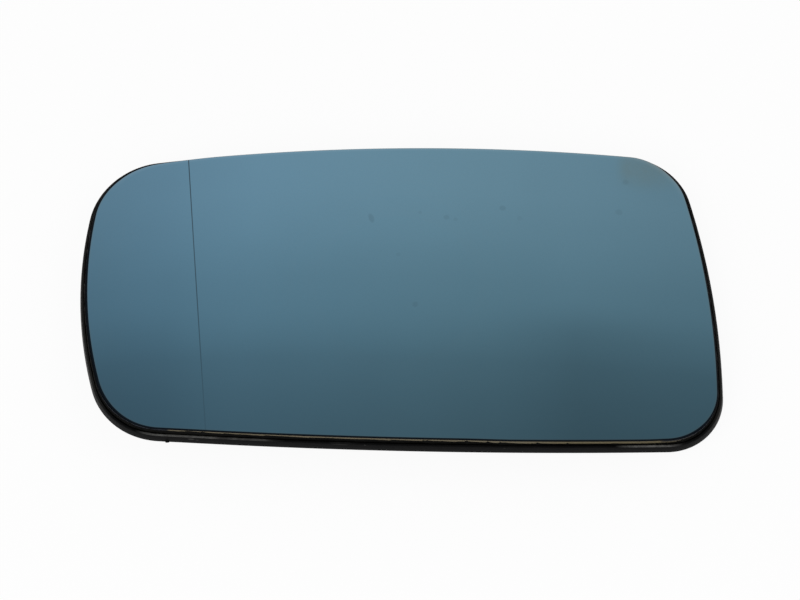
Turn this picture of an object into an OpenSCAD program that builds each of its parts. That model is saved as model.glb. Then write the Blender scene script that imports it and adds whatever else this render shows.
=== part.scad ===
// Glass of a car's left door mirror, bonded to its moulded backing plate.
// It lies face up: +X points to the car, +Y to the top of the mirror, +Z out of the glass.
// The origin is on the socket's axis, in the plane of the collar's foot.

/* [Glass] */
// Width of the glass over its two ends
glass_w = 184; // [176:1:196]
// Height of the glass
glass_h = 95; // [90:1:102]
// Thickness of the glass
glass_t = 2; // [1.8:0.1:3]
// Radius of the convex face
face_r = 1260; // [1100:10:2000]
// Radius across the tighter zone at the outer end
zone_r = 420; // [300:10:900]
// Width of that zone at mid height, from the outer end
zone_w = 33; // [24:1:42]
// Lean of that line away from the short sides, in degrees
zone_lean = 7.1; // [0:0.1:10]

/* [Outline of the glass] */
// Corner radius at the inner end, below
inner_low_r = 15.8; // [12:0.1:20]
// Corner radius at the inner end, above
inner_high_r = 17.8; // [12:0.1:24]
// Corner radius at the outer end, above
outer_high_r = 20.2; // [14:0.1:26]
// Corner radius at the outer end, below
outer_low_r = 21.3; // [14:0.1:26]
// Radius of the inner end's side
inner_side_r = 250; // [200:1:400]
// Radius of the top side
top_side_r = 878; // [700:1:1200]
// Radius of the outer end's side
outer_side_r = 129; // [110:1:200]
// Radius of the bottom side
bottom_side_r = 1155; // [900:1:1500]
// How far the upper inner corner leans back from the end
inner_high_back = 6.1; // [3:0.1:9]
// How far the lower outer corner leans back from the end
outer_low_back = 5.5; // [3:0.1:9]
// How far the upper outer corner leans back from the end
outer_high_back = 0.7; // [0.1:0.1:3]
// How far the upper inner corner lies below the top
inner_high_drop = 0.9; // [0.1:0.1:3]
// How far the upper outer corner lies below the top
outer_high_drop = 5.8; // [3:0.1:9]
// How far both lower corners lie above the lowest point
low_rise = 2.2; // [0.5:0.1:4]

/* [Film and adhesive] */
// Thickness of the heating film
film_t = 0.3; // [0.2:0.05:0.5]
// Margin from the glass's edge to the film
film_margin = 1.5; // [1:0.1:4]
// Thickness of the adhesive between film and plate
adhesive_t = 0.8; // [0.5:0.1:1.5]
// How far the adhesive is squeezed out past the glass
squeeze_out = 0.15; // [0.05:0.05:0.3]

/* [Backing plate] */
// Thickness of the plate's floor
floor_t = 2; // [1.6:0.1:3]
// Gap between the glass's edge and the rim
rim_gap = 0.65; // [0.4:0.05:1.2]
// Gap along the top side, where the glass reaches further out
rim_gap_top = 0.25; // [0.15:0.05:0.4]
// Width of the rim's top
lip_w = 0.7; // [0.6:0.05:1.2]
// Depth of the rim's top below the glass's face
lip_below = 2; // [1.4:0.1:2.4]
// How much wider the rim is at its foot
rim_flare = 0.65; // [0.2:0.05:1]
// Height of the rim's foot above the floor's underside
rim_foot_up = 0.6; // [0.4:0.1:1]
// Rounding of the rim's edges
rim_edge = 0.18; // [0.05:0.01:0.25]

/* [Ribs] */
// Number of ribs from the collar to the rim
rib_count = 12; // [6:1:16]
// Thickness of a rib
rib_t = 1.5; // [1:0.1:2.5]
// Height of a rib at the collar
rib_root_h = 4.2; // [2:0.1:5]
// Height of a rib at the rim
rib_end_h = 1.2; // [0.8:0.1:2]

/* [Socket] */
// Radius of the bore that snaps onto the adjuster
socket_r = 30; // [26:0.5:32]
// Depth of the bore
socket_depth = 10; // [9:0.5:12]
// Wall of the collar
collar_t = 2.6; // [2.2:0.1:4]
// Lead-in at the mouth
lead_in = 0.6; // [0.3:0.1:1]
// Number of slots that let the collar spring
slot_count = 8; // [6:1:10]
// Width of a slot
slot_w = 1.6; // [1:0.1:2]
// Length of a slot up from the collar's foot
slot_h = 6; // [5:0.5:7]
// Depth of the snap groove inside the bore
snap_depth = 0.6; // [0.3:0.1:0.8]
// Width of the snap groove
snap_w = 1; // [0.8:0.1:1.4]

/* [Retaining ring] */
// Diameter of the ring's wire
wire_d = 1.2; // [1:0.1:1.4]
// Height of the ring above the collar's foot
ring_z = 2.2; // [1.8:0.1:2.6]
// Depth of the ring's groove in the collar
groove_depth = 0.5; // [0.3:0.1:0.7]
// Clearance of the wire in its groove
wire_clearance = 0.05; // [0.03:0.01:0.1]
// Radius of the bend at each end
ring_bend_r = 1.6; // [1.4:0.1:2.5]
// Straight length of each end
ring_leg = 3; // [2:0.1:5]

/* [Terminals] */
// Width of a terminal blade
blade_w = 6.3; // [4.8:0.1:6.3]
// Thickness of a terminal blade
blade_t = 0.8; // [0.5:0.1:0.8]
// Length of a blade below the plate
blade_len = 7.9; // [6:0.1:8]
// Length of the foot against the film
foot_len = 9; // [6:0.1:14]
// Distance between the two blades
terminal_pitch = 14; // [12:0.5:18]
// Distance from the inner end to the middle of the pair
terminal_in = 36; // [32:1:38]
// Place of the blades along the height
terminal_y = -14; // [-16:1:-12]
// Space around a blade where it passes the plate
window_gap = 1.1; // [0.6:0.1:1.5]
// Space around a foot in the adhesive
foot_gap = 0.5; // [0.2:0.1:1]

/* [Hidden] */

// Depths below the glass's face, measured along its normal
film_top = glass_t;
adhesive_top = film_top + film_t;
floor_top = adhesive_top + adhesive_t;
floor_bottom = floor_top + floor_t;
rim_foot = floor_bottom - rim_foot_up;
// What a rib or collar reaches into the floor, so that they are one piece
floor_bite = floor_t / 2;
// Flat end of the socket below the highest point of the floor's underside
socket_end_drop = 0.5;
crown_z = socket_depth + socket_end_drop + floor_bottom;

// Offsets outward from the edge of the glass
lip_out = rim_gap + lip_w;
rim_out = lip_out + rim_flare;
floor_out = rim_gap + lip_w / 2;

// Middle of the pair of terminals, from the middle of the glass
terminal_x = glass_w / 2 - terminal_in;

// Extra length of a cut past the face that it opens
past = 1;
// Steps to a turn of a round part, of the wire and of the nearly flat face
round_fn = 96;
wire_fn = 32;
face_fn = 720;

// Corners of the outline, counter clockwise: side in X, side in Y, radius, way in along X and Y
CORNERS = [
    [1, -1, inner_low_r, 0, low_rise],
    [1, 1, inner_high_r, inner_high_back, inner_high_drop],
    [-1, 1, outer_high_r, outer_high_back, outer_high_drop],
    [-1, -1, outer_low_r, outer_low_back, low_rise],
];
// Side that follows each corner
SIDE_R = [inner_side_r, top_side_r, outer_side_r, bottom_side_r];
// Longest steps of the outline: in degrees at a corner, in millimetres along a side
corner_step = 6;
side_step = 10;

function corner_r(i) = CORNERS[i % 4][2];
function corner_at(i) =
    let (c = CORNERS[i % 4])
    [c[0] * (glass_w / 2 - c[2] - c[3]), c[1] * (glass_h / 2 - c[2] - c[4])];

// Centre of the large arc that touches corner i and the next one from outside
function side_at(i) =
    let (a = corner_at(i), b = corner_at(i + 1), span = norm(b - a), along = (b - a) / span,
         inward = [-along[1], along[0]],
         from_a = SIDE_R[i % 4] - corner_r(i), from_b = SIDE_R[i % 4] - corner_r(i + 1),
         run = (from_a * from_a - from_b * from_b + span * span) / (2 * span))
    a + run * along + sqrt(from_a * from_a - run * run) * inward;

function heading(v) = atan2(v[1], v[0]);
function turn(from, to) = ((to - from) % 360 + 360) % 360;
function polar(r, a) = r * [cos(a), sin(a)];

// One station is the centre, radius and angle of a point on an arc, so that it can be offset
function arc_stations(centre, r, from, sweep, steps) =
    [for (k = [0:steps - 1]) [centre, r, from + sweep * k / steps]];

function corner_stations(i) =
    let (from = heading(corner_at(i) - side_at(i + 3)),
         sweep = turn(from, heading(corner_at(i) - side_at(i))))
    arc_stations(corner_at(i), corner_r(i), from, sweep, ceil(sweep / corner_step));

function side_stations(i) =
    let (from = heading(corner_at(i) - side_at(i)),
         sweep = turn(from, heading(corner_at(i + 1) - side_at(i))),
         steps = ceil(SIDE_R[i] * sweep * PI / 180 / side_step))
    arc_stations(side_at(i), SIDE_R[i], from, sweep, steps);

STATIONS = [for (i = [0:3]) each concat(corner_stations(i), side_stations(i))];
RAW = [for (s = STATIONS) s[0] + polar(s[1], s[2])];
RAW_MIDDLE = [for (k = [0:1]) (min([for (p = RAW) p[k]]) + max([for (p = RAW) p[k]])) / 2];

// Outline at a distance outside the edge of the glass, centred on the origin
function outline(offset) = [for (s = STATIONS) s[0] - RAW_MIDDLE + polar(s[1] + offset, s[2])];

// Edge of the glass itself: along the top side it comes nearer to the rim
function glass_edge() =
    [for (s = STATIONS)
        let (up = max(0, sin(s[2])), further = (rim_gap - rim_gap_top) * up * up)
        s[0] - RAW_MIDDLE + polar(s[1] + further, s[2])];

// Distance from the origin to the outline in one direction
function reach(points, a) =
    min([for (i = [0:len(points) - 1])
        let (p = points[i], q = points[(i + 1) % len(points)], d = [cos(a), sin(a)], e = q - p,
             cross_de = d[0] * e[1] - d[1] * e[0], t = (p[0] * e[1] - p[1] * e[0]) / cross_de,
             s = (p[0] * d[1] - p[1] * d[0]) / cross_de)
        if (cross_de != 0 && t > 0 && s >= 0 && s <= 1) t]);

// The face turns about an axis below it, square to the zone's line, so the main zone is part
// of a ball and the outer zone is part of a ring that is tangent to it along the line
zone_u = (zone_w - glass_w / 2) * cos(zone_lean);
zone_turn = asin(zone_u / face_r);
zone_centre = polar(face_r - zone_r, zone_turn);
face_reach = (glass_w + glass_h) / 2;
face_sweep = 2 * asin(face_reach / face_r);
main_steps = ceil(2 * face_reach / side_step);
// The outer zone's curve runs well past its end of the plate
zone_reach = face_reach / 2;
zone_steps = ceil(zone_reach / side_step);
zone_step = asin(zone_reach / zone_r) / zone_steps;

// Height of the glass's face over a point
function face_z(p) =
    let (u = p[0] * cos(zone_lean) + p[1] * sin(zone_lean),
         v = p[1] * cos(zone_lean) - p[0] * sin(zone_lean), from_zone = u - zone_centre[1],
         r = u > zone_u ? sqrt(face_r * face_r - u * u)
                        : zone_centre[0] + sqrt(zone_r * zone_r - from_zone * from_zone))
    crown_z - face_r + sqrt(r * r - v * v);

// Points of the face's curve at one depth, from past the outer end to past the inner end.
// They are worked out on the same normals at each depth, so layers meet exactly.
function face_curve(depth) = concat(
    [for (k = [zone_steps:-1:1])
        zone_centre + polar(zone_r - depth, zone_turn - k * zone_step)],
    [for (k = [0:main_steps])
        polar(face_r - depth, zone_turn + (face_sweep / 2 - zone_turn) * k / main_steps)]);

function backwards(list) = [for (k = [len(list) - 1:-1:0]) list[k]];

// Whatever lies between two depths below the face, inside the plan drawn by the child
module layer(top, bottom) {
    intersection() {
        linear_extrude(crown_z + past)
            children();
        translate([0, 0, crown_z - face_r])
            rotate(zone_lean)
                rotate(180, [1, 0, 1])
                    rotate(-face_sweep / 2)
                        rotate_extrude(angle = face_sweep, $fn = face_fn)
                            polygon(concat(face_curve(top), backwards(face_curve(bottom))));
    }
}

module mirror_glass() {
    color([0.32, 0.45, 0.53])
        layer(0, glass_t)
            polygon(glass_edge());
}

module heater_film() {
    color([0.72, 0.5, 0.2])
        layer(film_top, adhesive_top)
            polygon(outline(-film_margin));
}

// Outline of a terminal's foot from above, with an equal space around it
module foot_plan(side, space) {
    translate([terminal_x + side * terminal_pitch / 2 - blade_w / 2 - space,
               terminal_y - blade_t / 2 - space])
        square([blade_w + 2 * space, foot_len + 2 * space]);
}

// Outline of a terminal's blade from above, with an equal space around it
module blade_plan(side, space) {
    translate([terminal_x + side * terminal_pitch / 2 - blade_w / 2 - space,
               terminal_y - blade_t / 2 - space])
        square([blade_w + 2 * space, blade_t + 2 * space]);
}

// The sheet seals the margin around the film and lies under the film as well
module adhesive_sheet() {
    color([0.05, 0.05, 0.05])
        union() {
            layer(film_top, floor_top)
                difference() {
                    polygon(outline(squeeze_out));
                    polygon(outline(-film_margin));
                }
            layer(adhesive_top, floor_top)
                difference() {
                    polygon(outline(-film_margin));
                    for (side = [-1, 1]) foot_plan(side, foot_gap);
                }
        }
}

// Section of the rim as offset and depth, from the inner edge of its top round to its foot
RIM_SECTION = [
    [rim_gap, lip_below + rim_edge],
    [rim_gap + rim_edge, lip_below],
    [lip_out - rim_edge, lip_below],
    [lip_out, lip_below + rim_edge],
    [rim_out, rim_foot - rim_edge],
    [rim_out - rim_edge, rim_foot],
    [rim_gap, rim_foot],
];

// The rim keeps its section all round and follows the curve of the glass
module rim() {
    count = len(STATIONS);
    sides = len(RIM_SECTION);
    rings = [for (s = RIM_SECTION) outline(s[0])];
    points = [for (i = [0:count - 1], k = [0:sides - 1])
        let (p = rings[k][i]) [p[0], p[1], face_z(p) - RIM_SECTION[k][1]]];
    faces = [for (i = [0:count - 1], k = [0:sides - 1])
        let (a = i * sides + k, b = i * sides + (k + 1) % sides,
             c = (i + 1) % count * sides + (k + 1) % sides, d = (i + 1) % count * sides + k)
        each [[a, c, b], [a, d, c]]];
    polyhedron(points, faces, convexity = 4);
}

// Ribs run out from the collar and get lower on the way
module ribs() {
    inner = socket_r + collar_t / 2;
    ends = outline(floor_out);
    intersection() {
        for (k = [0:rib_count - 1]) {
            a = 360 * k / rib_count;
            outer = reach(ends, a);
            root_z = face_z(polar(inner, a)) - floor_bottom - rib_root_h;
            end_z = face_z(polar(outer, a)) - floor_bottom - rib_end_h;
            rotate([90, 0, a])
                translate([0, 0, -rib_t / 2])
                    linear_extrude(rib_t)
                        polygon([[inner, root_z], [outer, end_z], [outer, crown_z], [inner, crown_z]]);
        }
        layer(floor_top + floor_bite, crown_z)
            polygon(outline(rim_gap - past));
    }
}

module backing_plate() {
    collar_top = crown_z - floor_bottom + floor_bite / 2;
    color([0.13, 0.13, 0.14])
        difference() {
            union() {
                layer(floor_top, floor_bottom)
                    polygon(outline(floor_out));
                rim();
                ribs();
                cylinder(r = socket_r + collar_t, h = collar_top, $fn = round_fn);
            }
            translate([0, 0, -past])
                cylinder(r = socket_r, h = socket_depth + past, $fn = round_fn);
            // Lead-in at the mouth
            cylinder(r1 = socket_r + lead_in, r2 = socket_r, h = lead_in, $fn = round_fn);
            // Snap groove inside and ring groove outside, at one height
            translate([0, 0, ring_z - snap_w / 2])
                cylinder(r = socket_r + snap_depth, h = snap_w, $fn = round_fn);
            groove_h = wire_d + 2 * wire_clearance;
            translate([0, 0, ring_z - groove_h / 2])
                rotate_extrude($fn = round_fn)
                    translate([socket_r + collar_t - groove_depth, 0])
                        square([groove_depth + past, groove_h]);
            for (k = [0:slot_count - 1])
                rotate(360 * (k + 0.5) / slot_count)
                    translate([socket_r - past, -slot_w / 2, -past])
                        cube([collar_t + 2 * past, slot_w, slot_h + past]);
            for (side = [-1, 1])
                linear_extrude(crown_z)
                    blade_plan(side, window_gap);
        }
}

// Three quarters of a ring of wire with both ends bent out, as handles for a screwdriver
module snap_ring() {
    wire_r = wire_d / 2;
    ring_r = socket_r + collar_t - groove_depth + wire_clearance + wire_r;
    color([0.75, 0.76, 0.78])
        translate([0, 0, ring_z])
            rotate(180)
                union() {
                    rotate_extrude(angle = 270, $fn = round_fn)
                        translate([ring_r, 0])
                            circle(r = wire_r, $fn = wire_fn);
                    for (side = [-1, 1])
                        rotate(side > 0 ? 0 : 270)
                            translate([ring_r + ring_bend_r, 0, 0]) {
                                rotate(side > 0 ? 180 : 90)
                                    rotate_extrude(angle = 90, $fn = round_fn)
                                        translate([ring_bend_r, 0])
                                            circle(r = wire_r, $fn = wire_fn);
                                translate([0, -side * ring_bend_r, 0])
                                    rotate([0, 90, 0])
                                        cylinder(r = wire_r, h = ring_leg, $fn = wire_fn);
                            }
                }
}

// A flat strip with its foot against the film and its blade out through the plate
module terminal(side) {
    blade_end = face_z([terminal_x, terminal_y]) - floor_bottom - blade_len;
    color([0.8, 0.78, 0.7])
        union() {
            layer(adhesive_top, floor_top)
                foot_plan(side, 0);
            intersection() {
                layer(adhesive_top + adhesive_t / 2, crown_z)
                    blade_plan(side, 0);
                translate([0, 0, blade_end])
                    linear_extrude(crown_z)
                        blade_plan(side, past);
            }
        }
}

module terminal_left() {
    terminal(-1);
}

module terminal_right() {
    terminal(1);
}

mirror_glass();
heater_film();
adhesive_sheet();
backing_plate();
snap_ring();
terminal_left();
terminal_right();
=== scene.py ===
# Looks of a car door mirror glass that lies face up on a pale floor: +X is the inner end of the
# glass, +Y its top edge and +Z comes out of its face. Lengths are in millimetres until a mesh is made.

import random
from math import asin, atan2, ceil, cos, hypot, pi, radians, sin, sqrt, tau

import bpy
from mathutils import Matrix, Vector, noise

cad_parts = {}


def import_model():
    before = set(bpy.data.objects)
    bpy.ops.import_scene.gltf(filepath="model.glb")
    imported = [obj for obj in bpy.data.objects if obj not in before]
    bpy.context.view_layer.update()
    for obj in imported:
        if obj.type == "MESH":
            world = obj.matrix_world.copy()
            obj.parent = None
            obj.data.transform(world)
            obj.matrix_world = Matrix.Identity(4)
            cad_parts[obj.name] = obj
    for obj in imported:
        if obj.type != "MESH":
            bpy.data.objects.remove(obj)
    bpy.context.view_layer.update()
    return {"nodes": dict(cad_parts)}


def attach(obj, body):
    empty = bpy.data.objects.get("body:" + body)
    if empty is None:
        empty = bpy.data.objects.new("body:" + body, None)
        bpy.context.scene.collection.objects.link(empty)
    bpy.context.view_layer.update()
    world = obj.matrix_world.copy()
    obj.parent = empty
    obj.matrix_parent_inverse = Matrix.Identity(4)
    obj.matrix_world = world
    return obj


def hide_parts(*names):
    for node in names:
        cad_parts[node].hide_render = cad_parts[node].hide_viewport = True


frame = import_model()
SCENE = bpy.context.scene
NODES = frame["nodes"]
MM = 0.001
BODY = "root"

# Glass, as the solids have it
GLASS_W = 184.0
GLASS_H = 95.0
GLASS_T = 2.0
FACE_R = 1260.0
ZONE_R = 420.0
ZONE_W = 33.0
ZONE_LEAN = radians(7.1)
CROWN_Z = 15.6

# Corners counter clockwise from the lower inner one: side in X, side in Y, radius, way in along X and Y
CORNERS = (
    (1, -1, 15.8, 0.0, 2.2),
    (1, 1, 17.8, 6.1, 0.9),
    (-1, 1, 20.2, 0.7, 5.8),
    (-1, -1, 21.3, 5.5, 2.2),
)
SIDE_R = (250.0, 878.0, 129.0, 1155.0)

# Depths below the face
FILM_BOTTOM = 2.3
FLOOR_TOP = 3.1
FLOOR_BOTTOM = 5.1
RIM_FOOT = 4.5
LIP_BELOW = 2.0

# Offsets outward from the edge of the glass
RIM_GAP = 0.65
RIM_GAP_TOP = 0.25
LIP_OUT = 1.35
RIM_OUT = 2.0
FLOOR_OUT = 1.0
RIM_EDGE = 0.18

# Ground bevel around the face: width and depth, and the share of both that is missing along the top
ARRIS_IN = 0.38
ARRIS_DOWN = 0.45
ARRIS_TOP_LESS = 0.5
# Widths added along the outer end and at the two lower corners: direction, how narrow it is, and width
ARRIS_MORE = ((pi, 2, 0.28), (radians(214), 8, 0.30), (radians(-52), 12, 0.20))
# Wider stretches at the upper corners: where each rises and falls along X, and the width added
ARRIS_UPPER = (((-91.0, -84.0), (-79.0, -69.0), 0.29), ((78.0, 81.0), (81.5, 84.0), 0.08))
BACK_ARRIS = 0.15

# The glass lies nearer to the lip along the top and along the inner half of the bottom. Each starts and
# ends over a stretch along X
TOP_FROM = (-75.0, -55.0)
TOP_TO = (71.0, 82.5)
NEARER = 0.22
NEARER_FROM = (18.0, 34.0)
NEARER_TO = (70.0, 80.0)

# Collar, its grooves and slots
SOCKET_R = 30.0
COLLAR_R = 32.6
SOCKET_DEPTH = 10.0
LEAD_IN = 0.6
SNAP_R = 30.6
SNAP_LOW = 1.7
SNAP_HIGH = 2.7
GROOVE_R = 32.1
GROOVE_LOW = 1.55
GROOVE_HIGH = 2.85
SLOT_COUNT = 8
SLOT_HALF = 0.8
SLOT_H = 6.0

# Ribs
RIB_COUNT = 12
RIB_HALF = 0.75
RIB_ROOT_H = 4.2
RIB_END_H = 1.2

# Ring of wire
WIRE_R = 0.6
RING_R = 32.75
RING_Z = 2.2
RING_BEND_R = 1.6
RING_LEG = 3.0

# Terminals
TERMINAL_X = 56.0
TERMINAL_Y = -14.0
TERMINAL_PITCH = 14.0
BLADE_HALF_W = 3.15
BLADE_T = 0.8
BLADE_LEN = 7.9
FOOT_LEN = 9.0
WINDOW_GAP = 1.1


# Outline and face

def left_of(v):
    return Vector((-v.y, v.x))


def direction(angle):
    return Vector((cos(angle), sin(angle)))


def corner_r(i):
    return CORNERS[i % 4][2]


def corner_at(i):
    side_x, side_y, r, in_x, in_y = CORNERS[i % 4]
    return Vector((side_x * (GLASS_W / 2 - r - in_x), side_y * (GLASS_H / 2 - r - in_y)))


def side_at(i):
    """Centre of the large arc that touches corner i and the next one from outside."""
    a, b = corner_at(i), corner_at(i + 1)
    span = (b - a).length
    along = (b - a) / span
    inward = left_of(along)
    from_a = SIDE_R[i % 4] - corner_r(i)
    from_b = SIDE_R[i % 4] - corner_r(i + 1)
    run = (from_a ** 2 - from_b ** 2 + span ** 2) / (2 * span)
    return a + run * along + sqrt(from_a ** 2 - run ** 2) * inward


def heading(v):
    return atan2(v.y, v.x)


def stations(corner_step, side_step):
    """Points of the outline as the centre, radius and angle of an arc, so that they can be offset."""
    found = []

    def arc(centre, r, start, end, longest):
        sweep = (end - start) % tau
        steps = ceil(sweep * r / longest)
        found.extend((centre, r, start + sweep * k / steps) for k in range(steps))

    for i in range(4):
        corner, side, r = corner_at(i), side_at(i), corner_r(i)
        turn = heading(corner - side)
        arc(corner, r, heading(corner - side_at(i - 1)), turn, r * corner_step)
        arc(side, SIDE_R[i], turn, heading(corner_at(i + 1) - side), side_step)
    return found


def raw_point(station, offset=0.0):
    centre, r, angle = station
    return Vector((centre.x + (r + offset) * cos(angle), centre.y + (r + offset) * sin(angle)))


def box_middle(points):
    sides = [[p[axis] for p in points] for axis in (0, 1)]
    return Vector([(min(side) + max(side)) / 2 for side in sides])


# The solids centre their outline with steps of 6 degrees and 10 mm
MIDDLE = box_middle([raw_point(s) for s in stations(radians(6), 10.0)])

FINE = stations(radians(3), 3.0)
BEAD_STATIONS = stations(radians(1.4), 0.5)


def outline(offset, listed=FINE):
    return [raw_point(s, offset) - MIDDLE for s in listed]


ZONE_U = (ZONE_W - GLASS_W / 2) * cos(ZONE_LEAN)
ZONE_TURN = asin(ZONE_U / FACE_R)
ZONE_CENTRE = ((FACE_R - ZONE_R) * cos(ZONE_TURN), (FACE_R - ZONE_R) * sin(ZONE_TURN))


def face_parts(x, y, depth):
    """Turned coordinates of a point, with the radius of the surface there and its slope along U."""
    u = x * cos(ZONE_LEAN) + y * sin(ZONE_LEAN)
    v = y * cos(ZONE_LEAN) - x * sin(ZONE_LEAN)
    if u > (FACE_R - depth) * sin(ZONE_TURN):
        r = sqrt((FACE_R - depth) ** 2 - u * u)
        return v, r, -u / r
    from_zone = u - ZONE_CENTRE[1]
    rise = sqrt((ZONE_R - depth) ** 2 - from_zone ** 2)
    return v, ZONE_CENTRE[0] + rise, -from_zone / rise


def surface_z(p, depth=0.0):
    """Height of the face, or of a layer at a depth below it, over a point."""
    v, r, _ = face_parts(p[0], p[1], depth)
    return CROWN_Z - FACE_R + sqrt(r * r - v * v)


def face_normal(p):
    v, r, slope = face_parts(p[0], p[1], 0.0)
    drop = sqrt(r * r - v * v)
    dz_du = r * slope / drop
    dz_dv = -v / drop
    dz_dx = dz_du * cos(ZONE_LEAN) - dz_dv * sin(ZONE_LEAN)
    dz_dy = dz_du * sin(ZONE_LEAN) + dz_dv * cos(ZONE_LEAN)
    return Vector((-dz_dx, -dz_dy, 1)).normalized()


def reach(points, angle):
    """Distance from the origin to a closed outline in one direction."""
    d = direction(angle)
    for i, p in enumerate(points):
        e = points[(i + 1) % len(points)] - p
        across = d.x * e.y - d.y * e.x
        if abs(across) < 1e-9:
            continue
        t = (p.x * e.y - p.y * e.x) / across
        s = (p.x * d.y - p.y * d.x) / across
        if t > 0 and 0 <= s <= 1:
            return t
    return 0.0


# Mesh helpers

def linked(name, data):
    obj = bpy.data.objects.new(name, data)
    SCENE.collection.objects.link(obj)
    return obj


def new_object(name, points, faces):
    mesh = bpy.data.meshes.new(name)
    mesh.from_pydata([Vector(p) * MM for p in points], [], faces)
    mesh.update()
    return linked(name, mesh)


def smooth(obj, degrees):
    obj.data.shade_smooth()
    obj.data.set_sharp_from_angle(angle=radians(degrees))


def band(first, second, count):
    """Quads between two rows of points that start at these indices."""
    faces = []
    for i in range(count):
        j = (i + 1) % count
        faces.append((first + i, second + i, second + j, first + j))
    return faces


def loft(name, rows, wrap=False):
    """An object over rows of equally many points, closed in a ring or capped at both ends."""
    count = len(rows[0])
    points = [p for row in rows for p in row]
    faces = []
    for k in range(len(rows) if wrap else len(rows) - 1):
        faces.extend(band(k * count, (k + 1) % len(rows) * count, count))
    if not wrap:
        faces.append(tuple(range(count)))
        faces.append(tuple(range(len(points) - 1, len(points) - 1 - count, -1)))
    return new_object(name, points, faces)


def shell(rows, top_centre, bottom_centre):
    """A closed skin over rings from one centre point, out, and back to another centre point."""
    count = len(rows[0])
    points = [p for row in rows for p in row] + [top_centre, bottom_centre]
    top, bottom = len(points) - 2, len(points) - 1
    last = (len(rows) - 1) * count
    faces = [(top, i, (i + 1) % count) for i in range(count)]
    for k in range(len(rows) - 1):
        faces.extend(band(k * count, (k + 1) * count, count))
    faces.extend((bottom, last + (i + 1) % count, last + i) for i in range(count))
    return points, faces


def circle(r, steps):
    """Points of a circle round the origin."""
    return [(r * cos(tau * k / steps), r * sin(tau * k / steps)) for k in range(steps)]


def revolve(section, steps):
    """A closed skin round the Z axis from points of radius and height, both ends on the axis."""
    rows = [[(x, y, z) for x, y in circle(r, steps)] for r, z in section[1:-1]]
    return shell(rows, (0, 0, section[0][1]), (0, 0, section[-1][1]))


def apply_modifiers(obj):
    graph = bpy.context.evaluated_depsgraph_get()
    obj.data = bpy.data.meshes.new_from_object(obj.evaluated_get(graph))
    obj.modifiers.clear()


def bevel(obj, width):
    made = obj.modifiers.new("edges", "BEVEL")
    made.width = width * MM
    made.segments = 2
    made.limit_method = "ANGLE"
    made.angle_limit = radians(40)
    apply_modifiers(obj)


def cut(obj, cutters):
    for cutter in cutters:
        made = obj.modifiers.new("cut", "BOOLEAN")
        made.operation = "DIFFERENCE"
        made.solver = "EXACT"
        made.object = cutter
    apply_modifiers(obj)
    for cutter in cutters:
        bpy.data.objects.remove(cutter)


def joined(name, objs):
    """One object from several, which are removed."""
    points, faces = [], []
    for obj in objs:
        start = len(points)
        points.extend(v.co / MM for v in obj.data.vertices)
        faces.extend(tuple(start + i for i in f.vertices) for f in obj.data.polygons)
        bpy.data.objects.remove(obj)
    return new_object(name, points, faces)


def add(obj, slot, *replaced):
    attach(obj, BODY)
    if replaced:
        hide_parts(*replaced)


def clad(obj, *materials):
    """Puts these materials on a mesh, in place of any that it has."""
    obj.data.materials.clear()
    for made in materials:
        obj.data.materials.append(made)


def dress(obj, degrees, made, slot, *replaced):
    """Smooths a piece, gives it its one material and adds it."""
    smooth(obj, degrees)
    clad(obj, made)
    add(obj, slot, *replaced)


def mark_points(obj, name, levels):
    """An attribute with these levels at these points of a mesh, and 0 at all others."""
    made = obj.data.attributes.new(name, "FLOAT", "POINT")
    for index, level in levels.items():
        made.data[index].value = level


# Node helpers

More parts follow.
